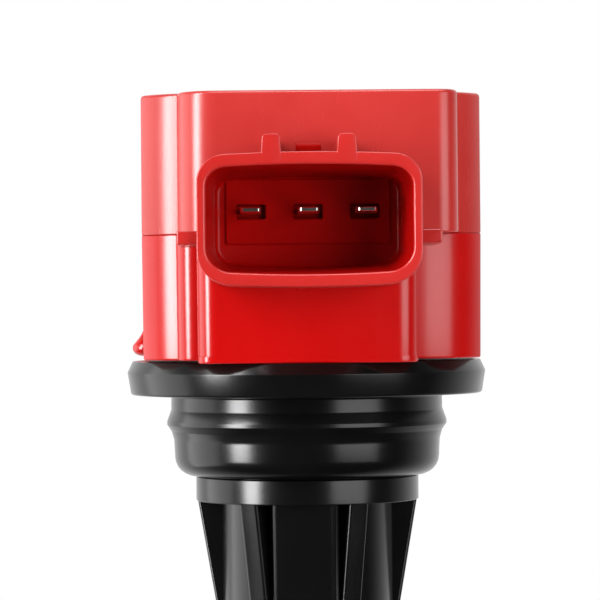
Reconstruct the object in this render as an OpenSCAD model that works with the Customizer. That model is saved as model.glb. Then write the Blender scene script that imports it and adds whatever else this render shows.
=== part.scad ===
// Coil-on-plug ignition coil: a red head with a block transformer and a three-blade
// harness socket, on a black ribbed stalk that ends in a rubber spark plug boot.
// Millimetres. The origin is the centre of the boot's mouth, +Z runs up the spark
// plug's axis, -Y is the harness side and +Y is the side of the mounting ear.

/* [Head] */
// Height of the head's underside above the boot's mouth
head_z = 137; // [134:1:145]
// Distance from the plug axis to the head's left side, seen from the harness side
head_left = 18.8; // [18.8:0.1:20.4]
// Distance from the plug axis to the head's right side
head_right = 19.9; // [19.2:0.1:20.4]
// Height of the head
head_h = 30.2; // [30:0.2:34]
// Height of the mould parting line above the head's underside
parting_h = 14.2; // [13.8:0.1:14.8]
// Distance from the plug axis to the front of the side columns
column_front = 16.2; // [15.8:0.1:16.8]
// Radius of the columns' rounded fronts
column_r = 9.5; // [9:0.1:10]
// Distance from the plug axis to the front of the centre bulge
bulge_front = 20.5; // [20.3:0.1:21.5]
// Distance from the plug axis to the back of the head
head_back = 19.6; // [19.6:0.1:22]
// Thickness of the head's walls
head_wall = 2; // [1.8:0.1:2.2]
// Mould draft at the top and bottom edges of the head
head_draft = 0.4; // [0:0.1:0.5]

/* [Harness socket] */
// Outer width of the socket's shroud
socket_w = 24.1; // [24:0.1:26]
// Outer height of the socket's shroud at its middle
socket_h = 14.4; // [14:0.1:15]
// Height of the socket's centre above the head's underside
socket_up = 15.35; // [15.2:0.05:15.6]
// Distance from the plug axis to the socket's rim
socket_front = 37.5; // [37:0.5:40]
// Depth of the socket
socket_depth = 14; // [13:0.5:15]
// Distance between neighbouring blades
blade_pitch = 6.3; // [6:0.1:6.4]
// Width of a blade
blade_w = 2.3; // [2:0.1:2.4]
// Thickness of a blade
blade_t = 0.64; // [0.6:0.02:0.8]

/* [Mounting ear] */
// Distance from the plug axis to the bolt's axis
ear_y = 33; // [32:0.5:38]
// Radius of the bushing's bolt hole
bolt_hole_r = 3.3; // [3.1:0.05:3.4]
// Height of the bushing
bushing_h = 9; // [8:0.5:12]

/* [Seal collar] */
// Largest radius of the collar's flange
flange_r = 21; // [20:0.1:21]
// Radius of the sharp sealing lip
lip_r = 16.4; // [16:0.1:17]
// Radius of the collar's lower bulge
neck_r = 15.6; // [15.4:0.05:15.8]

/* [Stalk] */
// Outer radius of the stalk's tube
stalk_r = 10; // [10:0.1:10.2]
// Radius of the ring under the seal collar
ring_r = 13.05; // [12.5:0.05:13.1]
// Radius of the stalk's inner bore
bore_r = 4.2; // [4.2:0.1:4.6]
// Width of the two wide ribs
wide_rib_w = 7.2; // [6:0.2:7.4]
// Width of the narrow ribs
narrow_rib_w = 2.4; // [1.8:0.1:2.6]
// Angle between a wide rib and its neighbours
rib_angle = 30; // [28:1:34]
// Turn of all ribs about the plug axis
rib_turn = -3; // [-5:1:5]

/* [Spark plug boot] */
// Height of the boot's top above its mouth
boot_h = 61.7; // [60:0.1:62]
// Outer radius of the boot at its lower half
boot_r = 9.2; // [9:0.1:9.6]
// Radius of the hole that grips the spark plug's insulator
plug_r = 5; // [4.9:0.05:5.2]
// Depth of that hole
plug_depth = 21; // [20:0.5:21]

/* [Transformer] */
// Side of the square centre core
core_side = 7; // [6:0.2:7]
// Height of the outer core's stack
core_h = 8; // [7:0.5:9]
// Outer radius of the secondary bobbin's flanges
secondary_r = 10.2; // [10:0.1:10.3]
// Number of winding chambers on the secondary bobbin
chambers = 8; // [6:1:10]

/* [Hidden] */
$fn = 64;

red = [0.82, 0.07, 0.05];
black = [0.07, 0.07, 0.08];
rubber_black = [0.1, 0.1, 0.1];
tin = [0.85, 0.85, 0.83];
steel = [0.6, 0.61, 0.63];
copper = [0.72, 0.36, 0.18];
brass = [0.8, 0.64, 0.32];

arc_steps = 8;
eps = 0.01;
snug = 0.03;

head_top = head_z + head_h;
parting_z = head_z + parting_h;
column_x = 11.2;
back_r = 3;
upper_bulge_left = 14.6;
upper_bulge_right = 16.95;
upper_bulge_left_r = 4.2;
upper_bulge_right_r = 2.4;
lower_bulge_half = 12.35;
lower_bulge_r = 2.3;
pilaster_left = 14.8;
pilaster_front = 18.4;
pilaster_r = 2.8;
bulge_drop = 0.3;

floor_z = head_z + 2.2;
pocket_left = head_left - head_wall;
pocket_right = head_right - head_wall;
pocket_front = column_front - head_wall;
front_pocket_half = 10.5;
front_pocket_y = bulge_front - 1.9;
potting_top = head_top - 1.8;

socket_z = head_z + socket_up;
socket_floor = socket_front - socket_depth;
rim_wall = 1.3;
rim_wall_tall = 1.7;
shroud_top_r = 2.9;
shroud_low_r = 3.5;
hollow_top_r = 2;
hollow_low_r = 2.4;
bow = 0.4;
guide_rib_w = 2.1;
guide_rib_h = 1.9;
guide_rib_x = 4.05;
wedge_w = 2.7;
wedge_h = 1.4;
wedge_front = socket_front - 4;
wedge_back = socket_front - 8.5;
tab_reach = 14.2;
tab_t = 1.5;
tab_set_back = 1.5;

carrier_half = 9.1;
carrier_h = 7.2;
carrier_proud = 0.25;
blade_z = head_z + 16.5;
blade_tip = socket_front - 5;
blade_tip_w = 1.85;
blade_taper = 1.4;
cell_w = 3.2;
cell_h = 1.6;
cell_depth = 1.2;
leg_y = -17.6;
leg_top = head_z + 23;

ear_r = 9.5;
ear_corner_x = 19.1;
ear_corner_y = 17.2;
ear_corner_r = 2;
ear_plate_h = 2.8;
boss_r = 7.2;
bushing_r = 4.6;
bushing_proud = 0.1;
gusset_t = 2;
gusset_x = 5.2;
gusset_low = head_z + 1;
gusset_top = head_z + 15;
gusset_end = ear_y - 3;

collar_top = head_z - bulge_drop;
collar_bottom = head_z - 13.7;
flange_edge_z = collar_top - 1.3;
flange_low_z = collar_top - 3.9;
waist_r = neck_r + 0.3;
waist_z = collar_top - 4.2;
waist_low_z = collar_top - 5.7;
lip_z = collar_top - 7.1;
groove_z = collar_top - 8.2;
neck_z = collar_top - 9.2;
bulge_inset = 2.7;
bulge_h = 2.2;
ring_top = collar_bottom - 0.05;
ring_bottom = ring_top - 2.9;
rib_top_r = ring_r - 0.15;
rib_slope = 0.169;
rib_sink = 0.3;
rib_lap = 0.3;
rib_bottom = ring_bottom - (rib_top_r - stalk_r) / rib_slope;
stalk_top = floor_z + 0.8;
stalk_cup_r = 7;
stalk_cup_z = head_z;
shoulder_z = boot_h + 0.3;
nose_r = 6.5;
nose_bottom = 46.2;
bead_r = 7.1;
bead_z = nose_bottom + 5;
bead_h = 1.6;
bead_slope = 0.8;

neck_hole_r = 3.4;
neck_cone_h = 1.5;
chamber_r = 4.1;
chamber_z = plug_depth + 4.2;
boot_top_r = 10.4;
boot_ring_r = 11;
boot_ring_w = 1.6;
boot_rings = [50, 54, 58];

cap_r = 3.7;
cap_z = chamber_z + 0.4;
cap_h = 5;
cap_wall = 0.4;
cap_floor = 0.8;
cap_nose_r = 2.8;
cap_nose_h = 0.8;
spring_mean_r = 2.6;
spring_wire_r = 0.4;
spring_turns = 12;
spring_steps = 14;
spring_sides = 6;
resistor_bottom = 78;
resistor_len = 34;
resistor_r = 3.5;
resistor_cap_r = 4;
resistor_cap_h = 5;
resistor_cap_t = 0.6;
resistor_top = resistor_bottom + resistor_len;
spring_bottom = cap_z + cap_floor + 0.05;
spring_top = resistor_bottom - snug;

coil_y = 2.3;
coil_z = head_z + 15.5;
core_leg = 4;
core_half_x = 16.6;
core_window_x = core_half_x - core_leg;
core_half_y = 14.5;
core_window_y = core_half_y - core_leg;
core_corner_r = 1.5;
magnet_t = 1.2;
bobbin_half = 12.2;
bobbin_flange_t = 1;
bobbin_flange_r = 9.5;
bobbin_wall = 0.8;
primary_in = 5.05;
primary_core_r = primary_in + bobbin_wall;
primary_out = 6.9;
secondary_half = 11;
secondary_in = 7.1;
secondary_wall = 0.9;
secondary_core_r = secondary_in + secondary_wall;
secondary_wire_r = secondary_r - 0.5;
chamber_wall = 0.7;
lead_r = 0.35;
lead_top = head_top - 3.4;
lead_x = bobbin_half - bobbin_flange_t / 2;

module_half = 8;
module_y = [-18.3, -14.6];
module_z = [head_z + 4, head_z + 14];
sink_half = 9;
sink_t = 1.2;
sink_z = [head_z + 3.5, head_z + 21];
module_lead_w = 1.2;
module_lead_t = 0.4;
module_lead_top = head_z + 21;
switched_x = blade_pitch / 2;

// Points of a quarter arc that starts at angle a
function quarter(cx, cy, r, a) =
    [for (i = [0:arc_steps]) [cx + r * cos(a + 90 * i / arc_steps), cy + r * sin(a + 90 * i / arc_steps)]];

// Points of the arc of radius r that rounds corner b, on the way from a to c
function arc_at(a, b, c, r) = let(
    u = (a - b) / norm(a - b),
    v = (c - b) / norm(c - b),
    half = acos(u * v) / 2,
    centre = b + (u + v) / norm(u + v) * r / sin(half),
    start = b + u * r / tan(half) - centre,
    end = b + v * r / tan(half) - centre,
    turn = atan2(start.x * end.y - start.y * end.x, start * end)
) [
    for (i = [0:arc_steps])
        let(t = turn * i / arc_steps)
        centre + [start.x * cos(t) - start.y * sin(t), start.x * sin(t) + start.y * cos(t)]
];

// Outline through [x, y, radius] corners, with an arc at each
function filleted(corners) = let(n = len(corners)) [
    for (i = [0:n - 1])
        let(a = corners[(i + n - 1) % n], b = corners[i], c = corners[(i + 1) % n])
        for (p = arc_at([a.x, a.y], [b.x, b.y], [c.x, c.y], b.z)) p
];

// Outline of a rectangle whose front corners (low y) and back corners have their own radii
function rounded(x0, x1, y0, y1, front_r, back_r) =
    filleted([[x1, y1, back_r], [x0, y1, back_r], [x0, y0, front_r], [x1, y0, front_r]]);

// Front of a column as an arc from the middle out to the given side, with radius r
function column_arc(half, r) = let(reach = asin((half - column_x) / r)) [
    for (i = [0:arc_steps])
        [column_x + r * sin(reach * i / arc_steps), r - r * cos(reach * i / arc_steps)]
];

// Outline of the head's body without its bulges, moved inwards by d
function body_outline(d) = let(
    left = head_left - d,
    right = head_right - d,
    back = head_back - d,
    front = -column_front + d,
    r = column_r - d,
    left_arc = column_arc(left, r)
) concat(
    quarter(right - back_r + d / 2, back - back_r + d / 2, back_r - d / 2, 0),
    quarter(-left + back_r - d / 2, back - back_r + d / 2, back_r - d / 2, 90),
    [for (i = [arc_steps:-1:0]) [-left_arc[i].x, front + left_arc[i].y]],
    [for (p = column_arc(right, r)) [p.x, front + p.y]]
);

// Points between two corners of an edge, without the corners
function between(a, b, n) = [for (i = [1:n - 1]) a + (b - a) * i / n];

// Rounded rectangle round the origin whose long edges bow outwards at their middle
function bowed(w, h, top_r, bottom_r, rise) = let(
    top_edge = between([w / 2 - top_r, h / 2], [-w / 2 + top_r, h / 2], arc_steps),
    bottom_edge = between([-w / 2 + bottom_r, -h / 2], [w / 2 - bottom_r, -h / 2], arc_steps),
    plain = concat(
        quarter(w / 2 - top_r, h / 2 - top_r, top_r, 0),
        top_edge,
        quarter(-w / 2 + top_r, h / 2 - top_r, top_r, 90),
        quarter(-w / 2 + bottom_r, -h / 2 + bottom_r, bottom_r, 180),
        bottom_edge,
        quarter(w / 2 - bottom_r, -h / 2 + bottom_r, bottom_r, 270)
    )
) [for (p = plain) [p.x, p.y * (1 - 2 * rise / h * pow(2 * p.x / w, 2))]];

// Extrudes an outline drawn in X and Z towards -Y, from y_back over the given length
module towards_front(y_back, length) {
    translate([0, y_back, 0])
        rotate([90, 0, 0])
        linear_extrude(length)
        children();
}

// Extrudes an outline drawn in Y and Z along X, centred on x
module across(x, width) {
    translate([x, 0, 0])
        rotate([90, 0, 90])
        linear_extrude(width, center = true)
        children();
}

// A box given by its limits along each axis
module box(x, y, z) {
    translate([x[0], y[0], z[0]])
        cube([x[1] - x[0], y[1] - y[0], z[1] - z[0]]);
}

// A tube between two heights
module tube(outer, inner, z0, z1) {
    translate([0, 0, z0])
        difference() {
            cylinder(r = outer, h = z1 - z0);
            translate([0, 0, -eps]) cylinder(r = inner, h = z1 - z0 + 2 * eps);
        }
}

// A wire along straight stretches, eight-sided, each stretch running on a little past its ends
module wire(points, r) {
    for (i = [0:len(points) - 2]) {
        step = points[i + 1] - points[i];
        translate(points[i])
            rotate([0, acos(step.z / norm(step)), atan2(step.y, step.x)])
            translate([0, 0, -r / 2])
            cylinder(r = r, h = norm(step) + r, $fn = 8);
    }
}

// ---- Head case: bucket, harness shroud and mounting ear, one moulding ----

module upper_plan() {
    polygon(body_outline(0));
    polygon(filleted([
        [upper_bulge_right, 0, 1], [-upper_bulge_left, 0, 1],
        [-upper_bulge_left, -bulge_front, upper_bulge_left_r],
        [upper_bulge_right, -bulge_front, upper_bulge_right_r]
    ]));
}

module lower_bulge() {
    polygon(rounded(-lower_bulge_half, lower_bulge_half, -bulge_front, 0, lower_bulge_r, lower_bulge_r));
}

module lower_plan() {
    polygon(body_outline(0));
    polygon(rounded(-pilaster_left, 0, -pilaster_front, 0, pilaster_r, 1));
    lower_bulge();
}

module draft_envelope() {
    reach = 60;
    low = head_z - bulge_drop;
    across(0, reach)
        polygon([
            [-bulge_front, parting_z], [-bulge_front + head_draft, low],
            [head_back - head_draft, low], [head_back, parting_z],
            [head_back - head_draft, head_top], [-bulge_front + head_draft, head_top]
        ]);
}

module side_envelope() {
    reach = 60;
    low = head_z - bulge_drop;
    lean = head_draft / 2;
    towards_front(head_back + 1, reach)
        polygon([
            [-head_left, parting_z], [-head_left + lean, low],
            [head_right - lean, low], [head_right, parting_z],
            [head_right - lean, head_top], [-head_left + lean, head_top]
        ]);
}

module head_block() {
    intersection() {
        union() {
            translate([0, 0, parting_z])
                linear_extrude(head_top - parting_z)
                upper_plan();
            translate([0, 0, head_z])
                linear_extrude(parting_h + eps)
                lower_plan();
            translate([0, 0, head_z - bulge_drop])
                linear_extrude(bulge_drop + eps)
                lower_bulge();
        }
        draft_envelope();
        side_envelope();
    }
}

module bucket_pocket(z0, z1) {
    translate([0, 0, z0])
        linear_extrude(z1 - z0)
        union() {
            polygon(body_outline(head_wall));
            polygon(rounded(-front_pocket_half, front_pocket_half, -front_pocket_y, 0, 1, 1));
        }
}

module shroud() {
    y_back = -bulge_front + 1;
    length = socket_front - bulge_front + 1;
    translate([0, 0, socket_z])
        towards_front(y_back, length)
        polygon(bowed(socket_w, socket_h, shroud_top_r, shroud_low_r, bow));
    for (side = [-1, 1])
        translate([side * guide_rib_x, 0, socket_z + socket_h / 2 - 1])
            towards_front(y_back, length)
            polygon(rounded(-guide_rib_w / 2, guide_rib_w / 2, 0, guide_rib_h + 1, 0.1, 0.6));
    across(0, wedge_w)
        polygon([
            [-wedge_front, socket_z + socket_h / 2 - 0.5], [-wedge_front, socket_z + socket_h / 2],
            [-wedge_back, socket_z + socket_h / 2 + wedge_h], [-wedge_back, socket_z + socket_h / 2 - 0.5]
        ]);
    box([-tab_reach, tab_reach], [-socket_front + tab_set_back, y_back], [parting_z - tab_t, parting_z]);
}

module socket_hollow() {
    translate([0, 0, socket_z])
        towards_front(-socket_floor, socket_depth + 1)
        polygon(bowed(
            socket_w - 2 * rim_wall, socket_h - 2 * rim_wall_tall, hollow_top_r, hollow_low_r, bow
        ));
}

module ear() {
    translate([0, 0, head_z])
        linear_extrude(ear_plate_h)
        hull() {
            for (side = [-1, 1])
                translate([side * ear_corner_x, ear_corner_y]) circle(r = ear_corner_r, $fn = 32);
            translate([0, ear_y]) circle(r = ear_r, $fn = 48);
        }
    translate([0, ear_y, head_z]) cylinder(r = boss_r, h = bushing_h - 2 * bushing_proud);
    for (side = [-1, 1])
        across(side * gusset_x, gusset_t)
            polygon([
                [head_back - 1, gusset_low], [head_back - 1, gusset_top],
                [gusset_end, head_z + bushing_h - 1.5], [gusset_end, gusset_low]
            ]);
}

module head_case() {
    color(red)
    difference() {
        union() {
            head_block();
            shroud();
            ear();
        }
        bucket_pocket(floor_z, head_top + 1);
        socket_hollow();
        box([-carrier_half, carrier_half], [-socket_floor - 1, -front_pocket_y + 1],
            [blade_z - carrier_h / 2, blade_z + carrier_h / 2]);
        translate([0, 0, head_z - 1]) cylinder(r = stalk_r + snug, h = 4);
        translate([0, ear_y, head_z - 1]) cylinder(r = bushing_r + snug, h = bushing_h + 2);
    }
}

// ---- Other pieces of the head's outside ----

module mounting_bushing() {
    color(steel)
    translate([0, ear_y, 0])
        tube(bushing_r, bolt_hole_r, head_z - bushing_proud, head_z + bushing_h - bushing_proud);
}

module terminal_carrier() {
    color(red)
    difference() {
        box([-carrier_half, carrier_half], [-socket_floor - carrier_proud, -front_pocket_y],
            [blade_z - carrier_h / 2, blade_z + carrier_h / 2]);
        for (i = [-1:1]) {
            box([i * blade_pitch - cell_w / 2, i * blade_pitch + cell_w / 2],
                [-socket_floor - 1, -socket_floor + cell_depth],
                [blade_z - cell_h / 2, blade_z + cell_h / 2]);
            box([i * blade_pitch - blade_w / 2, i * blade_pitch + blade_w / 2],
                [-socket_floor - 1, -front_pocket_y + 1],
                [blade_z - blade_t / 2, blade_z + blade_t / 2]);
        }
    }
}

// One blade: a tapered tip in the socket and an upright leg inside the head
module blade(i) {
    color(tin)
    translate([i * blade_pitch, 0, 0]) {
        translate([0, 0, blade_z - blade_t / 2])
            linear_extrude(blade_t)
            polygon([
                [-blade_w / 2, leg_y + blade_t], [blade_w / 2, leg_y + blade_t],
                [blade_w / 2, -blade_tip + blade_taper], [blade_tip_w / 2, -blade_tip],
                [-blade_tip_w / 2, -blade_tip], [-blade_w / 2, -blade_tip + blade_taper]
            ]);
        box([-blade_w / 2, blade_w / 2], [leg_y, leg_y + blade_t], [blade_z - blade_t / 2, leg_top]);
    }
}

module supply_blade() {
    blade(-1);
}

module ground_blade() {
    blade(0);
}

module signal_blade() {
    blade(1);
}

module seal_collar() {
    rounding = [
        for (i = [0:arc_steps])
            let(t = 90 * i / arc_steps)
            [neck_r - bulge_inset * (1 - cos(t)), collar_bottom + bulge_h * (1 - sin(t))]
    ];
    color(rubber_black)
    rotate_extrude()
        polygon(concat(
            [
                [stalk_r + snug, collar_top], [flange_r - 0.6, collar_top],
                [flange_r, flange_edge_z], [flange_r - 0.4, flange_low_z],
                [waist_r, waist_z], [waist_r + 0.02, waist_low_z],
                [lip_r, lip_z], [lip_r - 0.1, lip_z - 0.5],
                [waist_r, groove_z], [neck_r, neck_z]
            ],
            rounding,
            [[stalk_r + snug, collar_bottom]]
        ));
}

// ---- Stalk and boot ----

module rib(angle, width) {
    rotate([0, 0, angle])
        translate([-width / 2, -ring_r - 1, rib_bottom - 3])
        cube([width, ring_r - bore_r, ring_bottom - rib_bottom + 4]);
}

module stalk_ribs() {
    intersection() {
        translate([0, 0, rib_bottom - rib_sink / rib_slope])
            cylinder(
                r1 = stalk_r - rib_sink,
                r2 = rib_top_r + rib_lap * rib_slope,
                h = ring_bottom + rib_lap - rib_bottom + rib_sink / rib_slope
            );
        rotate([0, 0, rib_turn])
            for (half = [0, 180]) {
                rib(half, wide_rib_w);
                rib(half + 90, narrow_rib_w);
                for (side = [-1, 1]) rib(half + side * rib_angle, narrow_rib_w);
            }
    }
}

module stalk() {
    color(black)
    union() {
        rotate_extrude()
            polygon([
                [bore_r, nose_bottom], [nose_r, nose_bottom],
                [nose_r, bead_z - bead_slope], [bead_r, bead_z],
                [bead_r, bead_z + bead_h], [nose_r, bead_z + bead_h + bead_slope],
                [nose_r, shoulder_z], [stalk_r, shoulder_z],
                [stalk_r, ring_bottom], [ring_r, ring_bottom],
                [ring_r, ring_top], [stalk_r, ring_top],
                [stalk_r, stalk_top], [stalk_cup_r, stalk_top],
                [stalk_cup_r, stalk_cup_z], [bore_r, stalk_cup_z]
            ]);
        stalk_ribs();
    }
}

module plug_boot() {
    color(rubber_black)
    rotate_extrude()
        difference() {
            union() {
                polygon([
                    [plug_r - 2, 0], [boot_r - 0.5, 0], [boot_r, 0.8], [boot_r, 30],
                    [boot_top_r, 42], [boot_top_r, boot_h - 0.6], [boot_top_r - 0.6, boot_h],
                    [plug_r - 2, boot_h]
                ]);
                for (z = boot_rings)
                    translate([0, z]) square([boot_ring_r, boot_ring_w]);
            }
            polygon([
                [-1, -1], [plug_r, -1], [plug_r, plug_depth],
                [neck_hole_r, plug_depth + neck_cone_h], [neck_hole_r, chamber_z],
                [chamber_r, chamber_z], [chamber_r, nose_bottom],
                [nose_r + snug, nose_bottom], [nose_r + snug, bead_z - bead_slope],
                [bead_r + snug, bead_z], [bead_r + snug, bead_z + bead_h],
                [nose_r + snug, bead_z + bead_h + bead_slope], [nose_r + snug, boot_h + 1],
                [-1, boot_h + 1]
            ]);
        }
}

// ---- High voltage path, from the secondary down to the spark plug ----

module hv_terminal() {
    strip_z = stalk_top + 0.3;
    strip_t = 0.6;
    strip_half = 1.5;
    strip_end = 9.5;
    cup_h = 1.2;
    stem_r = 1.4;
    color(brass)
    union() {
        translate([0, 0, resistor_top + snug]) cylinder(r = stem_r, h = strip_z - resistor_top, $fn = 32);
        translate([0, 0, stalk_cup_z + snug]) cylinder(r = stalk_cup_r - 0.1, h = cup_h);
        box([-strip_half, strip_end], [-strip_half, strip_half], [strip_z, strip_z + strip_t]);
        box([strip_end - strip_t, strip_end], [-strip_half, strip_half],
            [strip_z, coil_z - secondary_r + 0.1]);
    }
}

module suppression_resistor() {
    color([0.86, 0.83, 0.76])
    translate([0, 0, resistor_bottom + resistor_cap_t])
        cylinder(r = resistor_r, h = resistor_len - 2 * resistor_cap_t);
}

module resistor_caps() {
    color(brass)
    for (flip = [0, 1])
        translate([0, 0, resistor_bottom + flip * resistor_len])
            rotate([180 * flip, 0, 0])
            difference() {
                cylinder(r = resistor_cap_r, h = resistor_cap_h);
                translate([0, 0, resistor_cap_t]) cylinder(r = resistor_r, h = resistor_cap_h);
            }
}

// A helix of round wire as one closed mesh: a ring of points at each step along it
module contact_spring() {
    rings = spring_turns * spring_steps;
    low = spring_bottom + spring_wire_r;
    rise = spring_top - spring_wire_r - low;
    points = [
        for (i = [0:rings], j = [0:spring_sides - 1])
            let(turn = 360 * i / spring_steps, around = 360 * j / spring_sides)
            let(r = spring_mean_r + spring_wire_r * cos(around))
            [r * cos(turn), r * sin(turn), low + rise * i / rings + spring_wire_r * sin(around)]
    ];
    walls = [
        for (i = [0:rings - 1], j = [0:spring_sides - 1])
            let(k = (j + 1) % spring_sides, a = i * spring_sides, b = (i + 1) * spring_sides)
            for (face = [[a + j, a + k, b + k], [a + j, b + k, b + j]]) face
    ];
    first_end = [[for (j = [0:spring_sides - 1]) spring_sides - 1 - j]];
    last_end = [[for (j = [0:spring_sides - 1]) rings * spring_sides + j]];
    color(steel)
    polyhedron(points, concat(walls, first_end, last_end));
}

module contact_cap() {
    color(brass)
    union() {
        difference() {
            translate([0, 0, cap_z]) cylinder(r = cap_r, h = cap_h);
            translate([0, 0, cap_z + cap_floor]) cylinder(r = cap_r - cap_wall, h = cap_h);
        }
        translate([0, 0, cap_z - cap_nose_h]) cylinder(r = cap_nose_r, h = cap_nose_h + 0.2);
    }
}

// ---- Igniter ----

module igniter_module() {
    color(black)
    box([-module_half, module_half], module_y, module_z);
}

module igniter_heat_sink() {
    color([0.75, 0.76, 0.78])
    box([-sink_half, sink_half], [module_y[1], module_y[1] + sink_t], sink_z);
}

module igniter_leads() {
    color(tin)
    for (x = [-blade_pitch, 0, switched_x, blade_pitch])
        box([x - module_lead_w / 2, x + module_lead_w / 2],
            [leg_y + blade_t, leg_y + blade_t + module_lead_t], [module_z[1], module_lead_top]);
}

// ---- Transformer, its axis along X ----

module on_coil_axis() {
    translate([0, coil_y, coil_z]) rotate([0, 90, 0]) children();
}

// A tube round the coil axis between two places along it
module coil_tube(outer, inner, x0, x1) {
    on_coil_axis() tube(outer, inner, x0, x1);
}

module center_core() {
    half = core_side / 2;
    color(steel)
    translate([0, coil_y, coil_z])
        box([-core_window_x + magnet_t, core_window_x], [-half, half], [-half, half]);
}

module bias_magnet() {
    half = core_side / 2;
    color([0.25, 0.25, 0.27])
    translate([0, coil_y, coil_z])
        box([-core_window_x, -core_window_x + magnet_t], [-half, half], [-half, half]);
}

module outer_core() {
    color(steel)
    translate([0, coil_y, coil_z - core_h / 2])
        linear_extrude(core_h)
        difference() {
            polygon(rounded(
                -core_half_x, core_half_x, -core_half_y, core_half_y, core_corner_r, core_corner_r
            ));
            square([2 * core_window_x, 2 * core_window_y], center = true);
        }
}

module core_cushions() {
    half_y = 10;
    gap = snug / 2;
    color(rubber_black)
    for (x = [[-pocket_left + gap, -core_half_x - gap], [core_half_x + gap, pocket_right - gap]])
        translate([0, coil_y, coil_z])
            box(x, [-half_y, half_y], [-core_h / 2, core_h / 2]);
}

module lead_slot(side) {
    translate([side * lead_x, coil_y, coil_z])
        box([-1, 1], [-0.5, 0.5], [primary_core_r + 0.1, bobbin_flange_r + 1]);
}

module primary_bobbin() {
    color([0.15, 0.15, 0.16])
    difference() {
        union() {
            coil_tube(primary_core_r, primary_in, -bobbin_half, bobbin_half);
            coil_tube(bobbin_flange_r, primary_in, -bobbin_half, -bobbin_half + bobbin_flange_t);
            coil_tube(bobbin_flange_r, primary_in, bobbin_half - bobbin_flange_t, bobbin_half);
        }
        for (side = [-1, 1]) lead_slot(side);
    }
}

module primary_winding() {
    end = bobbin_half - bobbin_flange_t;
    color(copper)
    coil_tube(primary_out, primary_core_r, -end, end);
}

module secondary_bobbin() {
    color([0.88, 0.86, 0.8])
    union() {
        coil_tube(secondary_core_r, secondary_in, -secondary_half, secondary_half);
        for (i = [0:chambers]) {
            x = -secondary_half + (2 * secondary_half - chamber_wall) * i / chambers;
            coil_tube(secondary_r, secondary_in, x, x + chamber_wall);
        }
    }
}

module secondary_winding() {
    pitch = (2 * secondary_half - chamber_wall) / chambers;
    color(copper)
    for (i = [0:chambers - 1]) {
        x = -secondary_half + pitch * i;
        coil_tube(secondary_wire_r, secondary_core_r, x + chamber_wall, x + pitch);
    }
}

// Route of a primary lead: up out of the bobbin's end, over the core and down to its terminal
function lead_route(side, end_x) = [
    [side * lead_x, coil_y, coil_z + primary_out],
    [side * lead_x, coil_y, lead_top],
    [side * (sink_half + 0.5), -pocket_front + 1.5, lead_top],
    [end_x, leg_y + blade_t + 0.4, leg_top + 0.4],
    [end_x, leg_y + blade_t + 0.4, module_lead_top + lead_r / 2 + snug]
];

module supply_lead() {
    color(copper)
    wire(lead_route(-1, -blade_pitch), lead_r);
}

module switched_lead() {
    color(copper)
    wire(lead_route(1, switched_x), lead_r);
}

module hv_diode() {
    diode_place = [-6, 11.5, floor_z + 2.6];
    diode_len = 7;
    diode_r = 1.3;
    pin_len = 3;
    pin_r = 0.3;
    color([0.2, 0.2, 0.22])
    translate(diode_place)
        rotate([0, 90, 0])
        union() {
            cylinder(r = diode_r, h = diode_len, $fn = 32);
            translate([0, 0, -pin_len]) cylinder(r = pin_r, h = diode_len + 2 * pin_len, $fn = 32);
        }
}

// Epoxy that fills the bucket round everything in it
module potting() {
    color([0.09, 0.08, 0.08])
    difference() {
        bucket_pocket(floor_z, potting_top);
        coil_tube(secondary_r, 0, -secondary_half, secondary_half);
        coil_tube(bobbin_flange_r, 0, -bobbin_half, bobbin_half);
        center_core();
        bias_magnet();
        outer_core();
        core_cushions();
        igniter_module();
        igniter_heat_sink();
        igniter_leads();
        for (i = [-1:1]) blade(i);
        supply_lead();
        switched_lead();
        hv_diode();
        hv_terminal();
        translate([0, 0, floor_z - 1]) cylinder(r = stalk_r, h = stalk_top - floor_z + 1);
    }
}

head_case();
mounting_bushing();
terminal_carrier();
supply_blade();
ground_blade();
signal_blade();
igniter_module();
igniter_heat_sink();
igniter_leads();
center_core();
outer_core();
bias_magnet();
core_cushions();
primary_bobbin();
primary_winding();
supply_lead();
switched_lead();
secondary_bobbin();
secondary_winding();
hv_diode();
hv_terminal();
suppression_resistor();
resistor_caps();
potting();
seal_collar();
stalk();
plug_boot();
contact_spring();
contact_cap();
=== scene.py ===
import math

import bmesh
import bpy
from mathutils import Matrix, Vector
from mathutils.geometry import tessellate_polygon


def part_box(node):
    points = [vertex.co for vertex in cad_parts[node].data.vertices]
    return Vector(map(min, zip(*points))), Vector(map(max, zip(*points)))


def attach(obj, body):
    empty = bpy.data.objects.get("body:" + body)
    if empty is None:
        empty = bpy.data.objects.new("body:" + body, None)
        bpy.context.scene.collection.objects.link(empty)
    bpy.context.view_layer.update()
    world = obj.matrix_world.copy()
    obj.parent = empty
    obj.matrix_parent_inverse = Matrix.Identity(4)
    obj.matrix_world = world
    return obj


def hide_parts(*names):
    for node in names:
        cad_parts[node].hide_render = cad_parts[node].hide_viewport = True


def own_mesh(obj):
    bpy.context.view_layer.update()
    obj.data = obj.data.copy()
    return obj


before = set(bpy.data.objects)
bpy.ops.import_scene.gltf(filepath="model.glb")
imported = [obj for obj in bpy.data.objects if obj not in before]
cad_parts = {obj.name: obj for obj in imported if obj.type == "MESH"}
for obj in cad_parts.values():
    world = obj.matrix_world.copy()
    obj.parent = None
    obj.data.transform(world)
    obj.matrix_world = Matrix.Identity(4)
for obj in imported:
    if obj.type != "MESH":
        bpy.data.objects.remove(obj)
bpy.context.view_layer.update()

# ---------------------------------------------------------------- sizes, in millimetres
MM = 0.001


def mm(value):
    """A length of the frame, in millimetres."""
    return value / MM


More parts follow.
